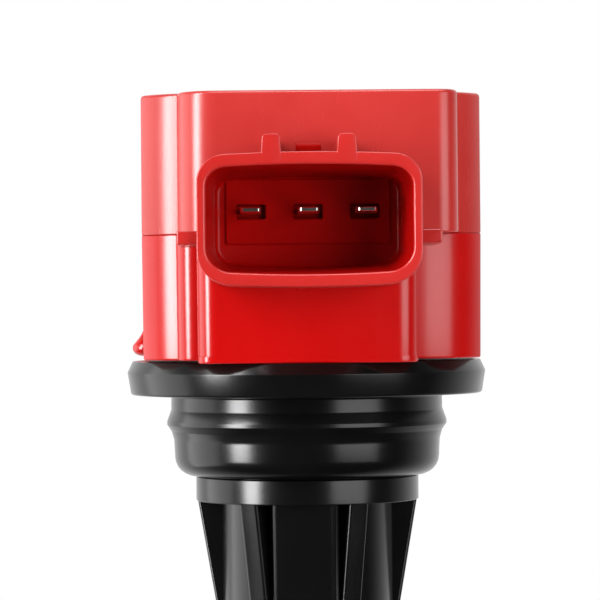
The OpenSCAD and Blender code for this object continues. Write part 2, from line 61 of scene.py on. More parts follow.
case_low, case_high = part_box("head_case")
collar_low, collar_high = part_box("seal_collar")
stalk_low, stalk_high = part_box("stalk")
_, boot_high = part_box("plug_boot")
bushing_low, bushing_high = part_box("mounting_bushing")
carrier_low, carrier_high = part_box("terminal_carrier")
blade_low, blade_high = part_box("ground_blade")
spring_low, spring_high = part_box("contact_spring")
cap_low, cap_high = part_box("contact_cap")
potting_low, potting_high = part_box("potting")

HEAD_TOP = mm(case_high.z)
HEAD_LOW = mm(case_low.z)
BULGE_DROP = 0.3
HEAD_Z = HEAD_LOW + BULGE_DROP
PARTING_Z = HEAD_Z + 14.2
RIM_Y = mm(case_low.y) + 0.02
LEFT = 18.8
RIGHT = 19.9
COLUMN_Y = -16.2
COLUMN_X = 11.2
COLUMN_SHIFT = 0.4
COLUMN_R = 9.5
BULGE_Y = -20.5
UPPER_BULGE_LEFT = 14.6
UPPER_BULGE_RIGHT = 16.95
UPPER_BULGE_LEFT_R = 4.6
UPPER_BULGE_RIGHT_R = 2.4
LOWER_BULGE_HALF = 12.35
LOWER_BULGE_LEFT_R = 2.15
LOWER_BULGE_RIGHT_R = 2.3
PILASTER_LEFT = 14.8
PILASTER_Y = -18.2
PILASTER_R = 2.5
BACK_Y = 19.6
DRAFT = 0.4
SIDE_DRAFT = 0.1
POTTING_Z = mm(potting_high.z)
WALL = 2.0
FRONT_POCKET_HALF = 10.5
FRONT_POCKET_Y = -18.6

SOCKET_Z = HEAD_Z + 15.35
SOCKET_HALF_W = 12.05
SOCKET_HALF_H = 7.2
SOCKET_FLOOR_Y = RIM_Y + 14
BOW = 0.4
LIP_WALL = 1.0
LIP_WALL_H = 1.35
WELL_INSET = 0.85
GUIDE_RIB_X = 4.05
GUIDE_RIB_HEIGHT = 1.9
TAB_OUT = 14.2
TAB_IN = 11.4
TAB_HEIGHT = 1.5
WEDGE_HALF = 1.35

EAR_Y = mm(bushing_low.y + bushing_high.y) / 2
EAR_TOP = mm(bushing_high.z)
EAR_CORNER_X = 19.1
EAR_CORNER_Y = 17.2
EAR_LEVELS = [
    (0.04, -1.1), (0.14, -0.7), (0.35, -0.32), (0.7, -0.06), (1.0, 0.0), (1.35, -0.05),
    (1.8, -0.42), (2.25, -0.8), (2.7, -1.1), (3.1, -1.3), (3.5, -1.42),
]
BUSHING_R = mm(bushing_high.x)
BOSS_R = 7.2
BOLT_R = 3.3
EYE_R = 9.5
EAR_CORNER_R = 2.0
GUSSET_X = 5.2

COLLAR_TOP = mm(collar_high.z)
COLLAR_LOW = mm(collar_low.z)
FLANGE_R = mm(collar_high.x)
LIP_R = 16.4
NECK_R = 15.6

RING_TOP = COLLAR_LOW - 0.05
RING_LOW = RING_TOP - 2.9
RING_R = mm(stalk_high.x)
TUBE_R = 10.0
BORE_R = 4.2
NOSE_R = 6.5
CUP_R = 7.0
SHOULDER_Z = mm(boot_high.z) + 0.3
RIB_SLOPE = 0.169
RIB_TURN = -3.0
RIB_ANGLE = 30.0
RIB_ROOT_R = 8.5
WIDE_RIB = 7.2
NARROW_RIB = 2.4


# ---------------------------------------------------------------- outlines
def rounded_path(corners, steps=8):
    """A closed outline from (x, y, radius) corners, with an arc at each one."""
    points = []
    count = len(corners)
    for i, (x, y, r) in enumerate(corners):
        here = Vector((x, y))
        if r <= 0:
            points.append(here)
            continue
        back = (Vector(corners[i - 1][:2]) - here).normalized()
        on = (Vector(corners[(i + 1) % count][:2]) - here).normalized()
        half = math.acos(max(-1.0, min(1.0, back.dot(on)))) / 2
        centre = here + (back + on).normalized() * (r / math.sin(half))
        start = here + back * (r / math.tan(half)) - centre
        end = here + on * (r / math.tan(half)) - centre
        turn = math.atan2(start.x * end.y - start.y * end.x, start.dot(end))
        for k in range(steps + 1):
            a = turn * k / steps
            points.append(centre + Vector((
                start.x * math.cos(a) - start.y * math.sin(a),
                start.x * math.sin(a) + start.y * math.cos(a),
            )))
    return points


def rectangle(x0, x1, y0, y1, r, steps=8):
    return rounded_path([(x1, y1, r), (x0, y1, r), (x0, y0, r), (x1, y0, r)], steps)


def circle(r, steps=96, x=0.0, y=0.0):
    turn = 2 * math.pi / steps
    return [Vector((x + r * math.cos(turn * k), y + r * math.sin(turn * k))) for k in range(steps)]


def inset(outline, d):
    """The outline moved inwards by d along its own normals (outwards where d is negative)."""
    moved = []
    count = len(outline)
    for i, p in enumerate(outline):
        a = (p - outline[i - 1])
        b = (outline[(i + 1) % count] - p)
        if a.length < 1e-9 or b.length < 1e-9:
            a = b = outline[(i + 1) % count] - outline[i - 1]
        a, b = a.normalized(), b.normalized()
        normal = Vector((-a.y - b.y, a.x + b.x)).normalized()
        shrink = max(0.5, normal.dot(Vector((-a.y, a.x))))
        moved.append(p + normal * (d / shrink))
    return moved


def edge_levels(low, high, low_r, high_r, steps=4):
    """(height, inset) pairs of a wall whose low and high edges are rounded."""
    levels = []
    for k in range(steps + 1):
        a = math.pi / 2 * k / steps
        levels.append((low + low_r * (1 - math.sin(a)), low_r * (1 - math.cos(a))))
    levels.reverse()
    for k in range(steps + 1):
        a = math.pi / 2 * k / steps
        levels.append((high - high_r * (1 - math.sin(a)), high_r * (1 - math.cos(a))))
    return levels


# ---------------------------------------------------------------- meshes
class Shape:
    """Vertices and faces of one piece, in millimetres, gathered from several parts."""

    def __init__(self):
        self.points = []
        self.faces = []

    def loft(self, rings, cap_low=False, cap_high=False):
        """Quads between rings of equally many points; the first and last may be capped."""
        start = len(self.points)
        n = len(rings[0])
        for ring in rings:
            self.points.extend(ring)
        for i in range(len(rings) - 1):
            for j in range(n):
                a = start + i * n + j
                b = start + i * n + (j + 1) % n
                self.faces.append((a, b, b + n, a + n))
        if cap_low:
            self.faces.append(tuple(start + j for j in reversed(range(n))))
        if cap_high:
            top = start + (len(rings) - 1) * n
            self.faces.append(tuple(top + j for j in range(n)))

    def plate(self, loops):
        """A flat face with holes: the first loop is its outline, the others are the holes."""
        start = len(self.points)
        flat = [p for loop in loops for p in loop]
        self.points.extend(flat)
        for tri in tessellate_polygon([[Vector(p) for p in loop] for loop in loops]):
            self.faces.append(tuple(start + i for i in tri))

    def extrude(self, outline, low, high, low_r, high_r, place, steps=4):
        """A closed slab with rounded edges; place turns (u, v, height) into a point."""
        rings = []
        for height, d in edge_levels(low, high, low_r, high_r, steps):
            rings.append([place(p.x, p.y, height) for p in inset(outline, d)])
        self.loft(rings, cap_low=True, cap_high=True)

    def revolve(self, profile, segments):
        """Turns a closed (r, z) profile about Z."""
        rings = []
        for p in profile + profile[:1]:
            ring = []
            for k in range(segments):
                a = 2 * math.pi * k / segments
                ring.append((p[0] * math.cos(a), p[0] * math.sin(a), p[1]))
            rings.append(ring)
        self.loft(rings)

    def build(self, name, material, slot, body="coil", angle=32.0):
        mesh = bpy.data.meshes.new(name)
        mesh.from_pydata([Vector(p) * MM for p in self.points], [], self.faces)
        mesh.validate()
        obj = bpy.data.objects.new(name, mesh)
        bpy.context.scene.collection.objects.link(obj)
        mesh.materials.append(material)
        finish_mesh(mesh, angle)
        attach(obj, body)
        return obj


def finish_mesh(mesh, angle):
    """Welds doubles, turns the faces outwards and smooths all but the sharp edges."""
    work = bmesh.new()
    work.from_mesh(mesh)
    bmesh.ops.remove_doubles(work, verts=work.verts, dist=2e-7)
    bmesh.ops.recalc_face_normals(work, faces=work.faces)
    for face in work.faces:
        face.smooth = True
    work.to_mesh(mesh)
    work.free()
    mesh.set_sharp_from_angle(angle=math.radians(angle))


def upright(x, y, z):
    return (x, y, z)


def facing_front(x, z, y):
    """Outline in X and Z, heights along Y."""
    return (x, y, z)


def sideways(y, z, x):
    """Outline in Y and Z, heights along X."""
    return (x, y, z)


# ---------------------------------------------------------------- materials
def new_material(name):
    material = bpy.data.materials.new(name)
    material.use_nodes = True
    nodes = material.node_tree.nodes
    return material, nodes, material.node_tree.links, nodes["Principled BSDF"]


def object_noise(nodes, links, scale, detail=3.0, stretch=(1, 1, 1)):
    """Noise in object space; scale counts waves per metre."""
    place = nodes.new("ShaderNodeTexCoord")
    mapping = nodes.new("ShaderNodeMapping")
    mapping.inputs["Scale"].default_value = stretch
    noise = nodes.new("ShaderNodeTexNoise")
    noise.inputs["Scale"].default_value = scale
    noise.inputs["Detail"].default_value = detail
    links.new(place.outputs["Object"], mapping.inputs["Vector"])
    links.new(mapping.outputs["Vector"], noise.inputs["Vector"])
    return noise.outputs["Fac"]


def ramp(nodes, links, value, low, high):
    """Maps a noise value to a colour between low and high."""
    node = nodes.new("ShaderNodeValToRGB")
    node.color_ramp.elements[0].position = 0.35
    node.color_ramp.elements[0].color = (*low, 1)
    node.color_ramp.elements[1].position = 0.65
    node.color_ramp.elements[1].color = (*high, 1)
    links.new(value, node.inputs["Fac"])
    return node.outputs["Color"]


def spread(nodes, links, value, low, high, start=0.0, end=1.0):
    """Maps a value that runs from start to end to one that runs from low to high."""
    node = nodes.new("ShaderNodeMapRange")
    node.inputs["From Min"].default_value = start
    node.inputs["From Max"].default_value = end
    node.inputs["To Min"].default_value = low
    node.inputs["To Max"].default_value = high
    links.new(value, node.inputs["Value"])
    return node.outputs["Result"]


def combine(nodes, links, operation, first, second):
    """A math node with two linked values."""
    node = nodes.new("ShaderNodeMath")
    node.operation = operation
    links.new(first, node.inputs[0])
    links.new(second, node.inputs[1])
    return node.outputs["Value"]


def bump(nodes, links, bsdf, value, strength, distance):
    node = nodes.new("ShaderNodeBump")
    node.inputs["Strength"].default_value = strength
    node.inputs["Distance"].default_value = distance
    links.new(value, node.inputs["Height"])
    links.new(node.outputs["Normal"], bsdf.inputs["Normal"])


def plastic(name, low, high, rough, grain=900, grain_depth=0.00002, ior=1.5):
    """Moulded plastic: faint colour drift, uneven gloss and a very fine grain."""
    material, nodes, links, bsdf = new_material(name)
    links.new(ramp(nodes, links, object_noise(nodes, links, 60), low, high), bsdf.inputs["Base Color"])
    gloss = object_noise(nodes, links, 240, detail=5.0)
    links.new(spread(nodes, links, gloss, rough[0], rough[1]), bsdf.inputs["Roughness"])
    bump(nodes, links, bsdf, object_noise(nodes, links, grain, detail=4.0), 0.25, grain_depth)
    bsdf.inputs["IOR"].default_value = ior
    return material


def metal(name, low, high, rough, stretch=(1, 1, 1), scale=1200):
    """Metal with fine drawn or rolled lines along the unstretched axis."""
    material, nodes, links, bsdf = new_material(name)
    lines = object_noise(nodes, links, scale, detail=4.0, stretch=stretch)
    links.new(ramp(nodes, links, lines, low, high), bsdf.inputs["Base Color"])
    links.new(spread(nodes, links, lines, rough[0], rough[1]), bsdf.inputs["Roughness"])
    bump(nodes, links, bsdf, lines, 0.15, 0.00001)
    bsdf.inputs["Metallic"].default_value = 1.0
    return material


# The head's base colours (from, to), the satin one paler pink as a painted sheen, its roughness
# (glossy, satin) and how far that drifts, and the shroud's share of the satin finish and its painted sheen
RED_GLOSSY = ((0.38, 0.0012, 0.0010), (0.42, 0.0022, 0.0018))
RED_SATIN_PAINTED_SHEEN = ((0.37, 0.019, 0.016), (0.42, 0.030, 0.026))
RED_ROUGH = (0.22, 0.26)
RED_ROUGH_DRIFT = (-0.035, 0.045)
SHROUD_SATIN_AND_SHEEN_SHARE = 0.6
SHROUD_ROOT_Y = BULGE_Y - 0.2


def edge_of(value):
    """A narrow range round a length in mm, in metres, for a soft edge between two finishes."""
    return (value - 0.05) * MM, (value + 0.05) * MM


def head_red():
    """The head's red: satin on the body above the mould parting line, glossy elsewhere; the satin part's
    paler, pinker colour is a painted sheen.
    """
    material, nodes, links, bsdf = new_material("red_plastic")
    tint = object_noise(nodes, links, 60)
    place = nodes.new("ShaderNodeTexCoord")
    split = nodes.new("ShaderNodeSeparateXYZ")
    links.new(place.outputs["Object"], split.inputs["Vector"])
    above = spread(nodes, links, split.outputs["Z"], 0.0, 1.0, *edge_of(PARTING_Z))
    on_body = spread(nodes, links, split.outputs["Y"], 0.0, 1.0, *edge_of(SHROUD_ROOT_Y))
    on_shroud = spread(nodes, links, split.outputs["Y"], SHROUD_SATIN_AND_SHEEN_SHARE, 0.0, *edge_of(SHROUD_ROOT_Y))
    # This mask sets the satin roughness and also mixes in the paler satin colour, which is a painted sheen
    satin_and_sheen = combine(nodes, links, "ADD", combine(nodes, links, "MULTIPLY", above, on_body), on_shroud)
    colour = nodes.new("ShaderNodeMix")
    colour.data_type = "RGBA"
    links.new(satin_and_sheen, colour.inputs["Factor"])
    links.new(ramp(nodes, links, tint, *RED_GLOSSY), colour.inputs["A"])
    links.new(ramp(nodes, links, tint, *RED_SATIN_PAINTED_SHEEN), colour.inputs["B"])
    links.new(colour.outputs["Result"], bsdf.inputs["Base Color"])
    lines = object_noise(nodes, links, 700, detail=5.0, stretch=(1, 1, 0.06))
    rough = spread(nodes, links, satin_and_sheen, *RED_ROUGH)
    uneven = combine(nodes, links, "ADD", rough, spread(nodes, links, lines, *RED_ROUGH_DRIFT))
    links.new(uneven, bsdf.inputs["Roughness"])
    bump(nodes, links, bsdf, object_noise(nodes, links, 900, detail=4.0, stretch=(1, 1, 0.2)), 0.2, 0.00002)
    bsdf.inputs["IOR"].default_value = 1.6
    return material


RED = head_red()
# The lock wedge's red, darker than the head's: painted shade on the wedge
RED_PAINTED_SHADE = plastic("red_painted_shade", (0.30, 0.002, 0.001), (0.34, 0.003, 0.002), (0.4, 0.5), ior=1.1)
# The socket's inside and the terminal insert, darker than the head's red: painted shade in the recess
RED_PAINTED_RECESS_SHADE = plastic("red_painted_recess_shade", (0.33, 0.002, 0.0016), (0.38, 0.003, 0.0022), (0.2, 0.28), ior=1.28)
BLACK = plastic("black_plastic", (0.0016, 0.0016, 0.0018), (0.003, 0.003, 0.0033), (0.19, 0.26), ior=1.52)
RUBBER = plastic(
    "black_rubber", (0.0015, 0.0015, 0.0015), (0.003, 0.003, 0.003),
    (0.19, 0.25), grain=1600, grain_depth=0.000008, ior=1.5,
)
BOOT_RUBBER = plastic(
    "boot_rubber", (0.008, 0.008, 0.008), (0.014, 0.014, 0.014),
    (0.34, 0.46), grain=1400, ior=1.48,
)
DARK = plastic("dark_plastic", (0.02, 0.02, 0.022), (0.035, 0.035, 0.037), (0.38, 0.5))
EPOXY = plastic(
    "epoxy", (0.008, 0.007, 0.007), (0.016, 0.013, 0.012),
    (0.08, 0.2), grain=160, grain_depth=0.0002,
)
CREAM = plastic("bobbin_plastic", (0.66, 0.63, 0.55), (0.72, 0.69, 0.61), (0.4, 0.5))
CLAY = plastic("resistor_body", (0.6, 0.58, 0.52), (0.7, 0.68, 0.62), (0.6, 0.75), grain=2200)
MAGNET = plastic("magnet", (0.05, 0.05, 0.055), (0.08, 0.08, 0.085), (0.5, 0.65), grain=2600)
TIN = metal("tin_plate", (0.78, 0.76, 0.72), (0.9, 0.88, 0.84), (0.16, 0.28), stretch=(1, 0.08, 1))
STEEL = metal("steel", (0.5, 0.51, 0.53), (0.62, 0.63, 0.65), (0.22, 0.36), stretch=(1, 1, 0.1))
BRASS = metal("brass", (0.7, 0.5, 0.22), (0.8, 0.6, 0.3), (0.2, 0.34))
ALUMINIUM = metal("aluminium", (0.68, 0.69, 0.71), (0.78, 0.79, 0.8), (0.28, 0.4), stretch=(0.1, 1, 1))
SILICON_STEEL = metal(
    "silicon_steel", (0.2, 0.21, 0.23), (0.36, 0.37, 0.39),
    (0.35, 0.55), stretch=(0.02, 0.02, 1), scale=1800,
)
COPPER = metal(
    "enamelled_copper", (0.42, 0.14, 0.05), (0.62, 0.25, 0.1),
    (0.22, 0.36), stretch=(1, 0.05, 0.05), scale=2400,
)


# ---------------------------------------------------------------- head
def column(side, x0, x1, d=0.0, steps=10):
    """Corners along a column's rounded front, from |x| = x0 to x1, d mm inside its outside."""
    r = COLUMN_R - d
    centre = COLUMN_X + COLUMN_SHIFT * side
    a0, a1 = math.asin((x0 - centre) / r), math.asin((x1 - centre) / r)
    corners = []
    for k in range(steps + 1):
        a = a0 + (a1 - a0) * k / steps
        corners.append((side * (centre + r * math.sin(a)), COLUMN_Y + COLUMN_R - r * math.cos(a), 0))
    return corners


def body_corners(front, left_from, right_from, d=0.0):
    """Corners of the head's plan, d mm inside its outside, with front between its two columns."""
    left, right, back = LEFT - d, RIGHT - d, BACK_Y - d
    left_arc = column(-1, left_from, left, d)
    right_arc = column(1, right_from, right, d)
    left_arc[-1] = (*left_arc[-1][:2], 0.8)
    right_arc[-1] = (*right_arc[-1][:2], 0.8)
    return [(right, back, 3.0 - d / 2), (-left, back, 3.0 - d / 2), *reversed(left_arc), *front, *right_arc]


UPPER_CORNERS = body_corners([
    (-UPPER_BULGE_LEFT, BULGE_Y, UPPER_BULGE_LEFT_R), (UPPER_BULGE_RIGHT, BULGE_Y, UPPER_BULGE_RIGHT_R),
], UPPER_BULGE_LEFT, UPPER_BULGE_RIGHT)
LOWER_CORNERS = body_corners([
    (-PILASTER_LEFT, PILASTER_Y, PILASTER_R), (-LOWER_BULGE_HALF, PILASTER_Y, 0.1),
    (-LOWER_BULGE_HALF, BULGE_Y, LOWER_BULGE_LEFT_R), (LOWER_BULGE_HALF, BULGE_Y, LOWER_BULGE_RIGHT_R),
], PILASTER_LEFT, LOWER_BULGE_HALF)
POCKET_CORNERS = body_corners([
    (-FRONT_POCKET_HALF, COLUMN_Y + WALL, 0.3), (-FRONT_POCKET_HALF, FRONT_POCKET_Y, 1.0),
    (FRONT_POCKET_HALF, FRONT_POCKET_Y, 1.0), (FRONT_POCKET_HALF, COLUMN_Y + WALL, 0.3),
], COLUMN_X, COLUMN_X + COLUMN_SHIFT, WALL)


def drafted(outline, height, edge, z, d):
    """One ring of the head's wall, leaning in by the draft away from the parting line."""
    share = abs(height - PARTING_Z) / abs(edge - PARTING_Z)
    lean = DRAFT * share
    shrink = 1 - SIDE_DRAFT * share * (height < PARTING_Z) / LEFT
    ring = []
    for p in inset(outline, d):
        front = max(0.0, min(1.0, -p.y / -BULGE_Y))
        ring.append((p.x * shrink, p.y + lean * front - lean * 0.4 * (p.y > 0), z))
    return ring


def head_half(shape, corners, low, high, low_r, high_r, edge, cap_high):
    """Adds the head's wall above or below the parting line and returns its last ring."""
    outline = rounded_path(corners, 10)
    rings = [drafted(outline, z, edge, z, d) for z, d in edge_levels(low, high, low_r, high_r)]
    shape.loft(rings, cap_low=True, cap_high=cap_high)
    return rings[-1]


def make_head():
    """The head's two halves, the drop under its bulge and the bucket that the potting fills."""
    shape = Shape()
    head_half(shape, LOWER_CORNERS, HEAD_Z, PARTING_Z, 0.25, 0.12, HEAD_Z, True)
    drop = rounded_path([
        (LOWER_BULGE_HALF, 0, 1), (-LOWER_BULGE_HALF, 0, 1),
        (-LOWER_BULGE_HALF, BULGE_Y + DRAFT, 1.85), (LOWER_BULGE_HALF, BULGE_Y + DRAFT, 2.3),
    ], 10)
    shape.extrude(drop, HEAD_LOW, HEAD_Z + 0.5, 0.2, 0.05, upright)
    rim = head_half(shape, UPPER_CORNERS, PARTING_Z, HEAD_TOP, 0.18, 0.45, HEAD_TOP, False)
    pocket = rounded_path(POCKET_CORNERS, 8)
    mouth_levels = (
        (HEAD_TOP, -0.25), (HEAD_TOP - 0.07, -0.07), (HEAD_TOP - 0.25, 0.0), (POTTING_Z - 1, 0.0),
    )
    inner = [[(p.x, p.y, z) for p in inset(pocket, d)] for z, d in mouth_levels]
    shape.plate([rim, inner[0]])
    shape.loft(inner)
    return shape


def shroud_outline(half_w, half_h, top_r, low_r, steps=10):
    """A rounded rectangle whose long edges bow outwards at the middle."""
    corners = rounded_path([
        (half_w, half_h, top_r), (-half_w, half_h, top_r),
        (-half_w, -half_h, low_r), (half_w, -half_h, low_r),
    ], steps)
    full = []
    count = len(corners)
    for i, p in enumerate(corners):
        full.append(p)
        on = corners[(i + 1) % count]
        if (on - p).length > 5:
            pieces = 12
            full.extend(p.lerp(on, k / pieces) for k in range(1, pieces))
    return [Vector((p.x, p.y * (1 - BOW / half_h * (p.x / half_w) ** 2))) for p in full]


def make_shroud(shape):
    """Adds the shroud's outside to the head and returns its inside as a separate shape."""
    outer = shroud_outline(SOCKET_HALF_W, SOCKET_HALF_H, 2.9, 3.5)
    mouth = shroud_outline(SOCKET_HALF_W - LIP_WALL, SOCKET_HALF_H - LIP_WALL_H, 2.1, 2.6)
    well = shroud_outline(
        SOCKET_HALF_W - LIP_WALL - WELL_INSET, SOCKET_HALF_H - LIP_WALL_H - WELL_INSET, 1.5, 2.0,
    )
    rim_r, mouth_r, floor_r = 0.16, 0.3, 0.5
    steps = 4
    rings = []

    def ring(outline, y, d=0.0):
        rings.append([(p.x, y, p.y + SOCKET_Z) for p in inset(outline, d)])

    ring(outer, BULGE_Y + 1.5, -0.12)
    ring(outer, SHROUD_ROOT_Y, -0.12)
    ring(outer, RIM_Y + 1.2)
    for k in range(steps + 1):
        a = math.pi / 2 * k / steps
        ring(outer, RIM_Y + rim_r * (1 - math.sin(a)), rim_r * (1 - math.cos(a)))
    for k in range(steps + 1):
        a = math.pi / 2 * k / steps
        ring(mouth, RIM_Y + mouth_r * (1 - math.cos(a)), -mouth_r * (1 - math.sin(a)))
    shape.loft(rings)
    rings = rings[-1:]
    for k in range(steps + 1):
        a = math.pi / 2 * k / steps
        ring(well, SOCKET_FLOOR_Y - floor_r * (1 - math.sin(a)), floor_r * (1 - math.cos(a)))
    inside = Shape()
    inside.loft(rings)
    inside.plate([rings[-1], [(p.x, SOCKET_FLOOR_Y, p.y) for p in carrier_outline(0.0)]])
    return inside


def carrier_outline(d):
    """The insert's outline on the socket's floor, in X and Z."""
    x0, x1 = mm(carrier_low.x), mm(carrier_high.x)
    z0, z1 = mm(carrier_low.z), mm(carrier_high.z)
    return inset(rectangle(x0, x1, z0, z1, 0.35, 5), d)


def make_shroud_ribs(shape):
    """The two guide ribs on the shroud's top and the tab on each of its sides."""
    back = BULGE_Y + 1
    top = SOCKET_Z + SOCKET_HALF_H
    for side in (-1, 1):
        x = GUIDE_RIB_X * side
        crest = top + GUIDE_RIB_HEIGHT
        outline = rounded_path([
            (x + 0.95, crest, 0.55), (x - 0.95, crest, 0.55),
            (x - 1.12, top - 1.0, 0), (x + 1.12, top - 1.0, 0),
        ], 6)
        shape.extrude(outline, RIM_Y - 0.01, back, 0.12, 0.05, facing_front)
    for side in (-1, 1):
        tab = rounded_path([
            (side * TAB_OUT, PARTING_Z + 0.02, 0.22), (side * TAB_IN, PARTING_Z + 0.02, 0),
            (side * TAB_IN, PARTING_Z - TAB_HEIGHT, 0), (side * TAB_OUT, PARTING_Z - TAB_HEIGHT, 0.22),
        ], 4)
        if side < 0:
            tab.reverse()
        shape.extrude(tab, RIM_Y + 1.5, back, 0.2, 0.05, facing_front)


def make_wedge():
    """The lock wedge on top of the shroud, a ramp that rises towards the head."""
    top = SOCKET_Z + SOCKET_HALF_H
    front, back, height = RIM_Y + 4, RIM_Y + 8.5, 1.4
    wedge = rounded_path([
        (front, top - 0.5, 0), (back, top - 0.5, 0),
        (back, top + height, 0.15), (back - 0.9, top + height, 0.3), (front, top + 0.9, 0.3),
    ], 4)
    shape = Shape()
    shape.extrude(wedge, -WEDGE_HALF, WEDGE_HALF, 0.12, 0.12, sideways)
    return shape


def ear_outline(grow, steps=8):
    """Tangent outline of the ear's two corner rounds and its eye, grown by the given distance."""
    eye_r, corner_r = EYE_R + grow, EAR_CORNER_R + grow
    corner, eye = Vector((EAR_CORNER_X, EAR_CORNER_Y)), Vector((0.0, EAR_Y))
    span = eye - corner
    normal = math.atan2(span.y, span.x) - math.acos((eye_r - corner_r) / span.length)
    start = -math.pi / 2
    outline = []
    for k in range(steps + 1):
        a = start + (normal - start) * k / steps
        outline.append(corner + Vector((math.cos(a), math.sin(a))) * corner_r)
    for k in range(4 * steps + 1):
        a = normal + (math.pi - 2 * normal) * k / (4 * steps)
        outline.append(eye + Vector((math.cos(a), math.sin(a))) * eye_r)
    for k in range(steps + 1):
        a = math.pi - normal + (normal - start) * k / steps
        outline.append(Vector((-corner.x, corner.y)) + Vector((math.cos(a), math.sin(a))) * corner_r)
    return outline


def make_ear(shape):
    """The ear: a thin plate that flares out of the head, a boss round the bushing and two gussets."""
    rings = [[(p.x, p.y, HEAD_Z + h) for p in ear_outline(grow)] for h, grow in EAR_LEVELS]
    bottom, top = rings[0], rings[-1]
    bottom_z = bottom[0][2]
    bushing = circle(BUSHING_R + 0.03, 64, 0, EAR_Y)
    shape.loft(rings)
    shape.plate([bottom, [(p.x, p.y, bottom_z) for p in bushing]])
    boss = circle(BOSS_R, 64, 0, EAR_Y)
    boss_z = EAR_TOP - 0.1
    top_z = top[0][2]
    shape.plate([top, [(p.x, p.y, top_z) for p in inset(boss, -0.5)]])
    shape.loft([[(p.x, p.y, z) for p in inset(boss, d)] for z, d in (
        (top_z, -0.5), (top_z + 0.15, -0.2), (top_z + 0.5, 0.0),
        (boss_z - 0.4, 0.05), (boss_z - 0.12, 0.14), (boss_z, 0.4),
    )])
    shape.plate([
        [(p.x, p.y, boss_z) for p in inset(boss, 0.4)],
        [(p.x, p.y, boss_z) for p in inset(bushing, -0.25)],
    ])
    shape.loft([[(p.x, p.y, z) for p in inset(bushing, d)] for z, d in (
        (boss_z, -0.25), (boss_z - 0.25, 0.0), (bottom_z, 0.0))])
    for side in (-1, 1):
        x = side * GUSSET_X
        gusset = rounded_path([
            (BACK_Y - 0.5, HEAD_Z + 1, 0), (EAR_Y - 3, HEAD_Z + 1, 0), (EAR_Y - 3, HEAD_Z + 7.5, 0.5),
            (BACK_Y + 0.4, HEAD_Z + 14.6, 0.6), (BACK_Y - 0.5, HEAD_Z + 15, 0),
        ], 5)
        shape.extrude(gusset, x - 1, x + 1, 0.25, 0.25, sideways)


head_shape = make_head()
socket_shape = make_shroud(head_shape)
make_shroud_ribs(head_shape)
make_ear(head_shape)
head = head_shape.build("head_moulding", RED, "red_plastic")
# The lock wedge takes the darkened red, which is painted shade
wedge = make_wedge().build("lock_wedge", RED_PAINTED_SHADE, "red_plastic")
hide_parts("head_case")
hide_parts("head_case")
# The socket's inside takes the darkened red, which is painted shade in the recess
socket = socket_shape.build("socket_inside", RED_PAINTED_RECESS_SHADE, "red_plastic")
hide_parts("head_case")

# ---------------------------------------------------------------- seal collar
def profile_path(corners, steps=6):
    return [(p.x, p.y) for p in rounded_path(corners, steps)]


collar_shape = Shape()
collar_shape.revolve(profile_path([
    (TUBE_R + 0.05, COLLAR_TOP, 0), (TUBE_R + 0.05, COLLAR_LOW, 0),
    (NECK_R - 0.2, COLLAR_LOW, 2.2), (NECK_R, COLLAR_LOW + 4.2, 2.0),
    (NECK_R + 0.3, COLLAR_TOP - 8.2, 0.5), (LIP_R + 0.02, COLLAR_TOP - 7.45, 0.22),
    (LIP_R, COLLAR_TOP - 7.0, 0.15), (NECK_R + 0.32, COLLAR_TOP - 5.7, 0.8),
    (NECK_R + 0.3, COLLAR_TOP - 4.1, 0.2), (FLANGE_R - 0.42, COLLAR_TOP - 3.9, 0.35),
    (FLANGE_R, COLLAR_TOP - 1.3, 0.12), (FLANGE_R - 0.6, COLLAR_TOP, 0.1),
]), segments=192)
collar = collar_shape.build("collar_rubber", RUBBER, "black_rubber", angle=40)
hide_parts("seal_collar")

# ---------------------------------------------------------------- stalk
def make_rib(shape, angle, width):
    """One rib: a rounded tongue whose outer edge follows the cone under the ring."""
    levels = 14
    top_r = RING_R - 0.15
    length = (top_r - TUBE_R) / RIB_SLOPE + 1.5
    turn = math.radians(angle + RIB_TURN)
    cos, sin = math.cos(turn), math.sin(turn)
    r = 0.6 if width == WIDE_RIB else 0.35
    rings = []
    for k in range(levels + 1):
        z = RING_LOW + 0.1 - length * k / levels
        reach = top_r - RIB_SLOPE * (RING_LOW - z)
        edge = math.sqrt(max(1.0, reach ** 2 - (width / 2) ** 2))
        half = width / 2
        section = [(-half, -RIB_ROOT_R, 0), (-half, -edge, r), (half, -edge, r), (half, -RIB_ROOT_R, 0)]
        ring = []
        for p in rounded_path(section, 5):
            on_crown = p.y < -RIB_ROOT_R - 0.1 and abs(p.x) < half - r
            y = -math.sqrt(max(1.0, reach ** 2 - p.x ** 2)) if on_crown else p.y
            ring.append((p.x * cos - y * sin, p.x * sin + y * cos, z))
        rings.append(ring)
    shape.loft(rings, cap_low=True, cap_high=True)


stalk_shape = Shape()
stalk_shape.revolve(profile_path([
    (BORE_R, mm(stalk_low.z), 0.2), (NOSE_R, mm(stalk_low.z), 0.4), (NOSE_R, SHOULDER_Z, 0.2),
    (TUBE_R, SHOULDER_Z, 0.4), (TUBE_R, RING_LOW, 0.15), (RING_R, RING_LOW, 0.14),
    (RING_R, RING_TOP, 0.2), (TUBE_R, RING_TOP, 0), (TUBE_R, mm(stalk_high.z), 0),
    (CUP_R, mm(stalk_high.z), 0), (CUP_R, HEAD_Z, 0), (BORE_R, HEAD_Z, 0),
]), segments=192)
for half in (0, 180):
    make_rib(stalk_shape, half, WIDE_RIB)
    make_rib(stalk_shape, half + 90, NARROW_RIB)
    for side in (-1, 1):
        make_rib(stalk_shape, half + side * RIB_ANGLE, NARROW_RIB)
stalk = stalk_shape.build("stalk_moulding", BLACK, "black_plastic", angle=30)
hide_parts("stalk")

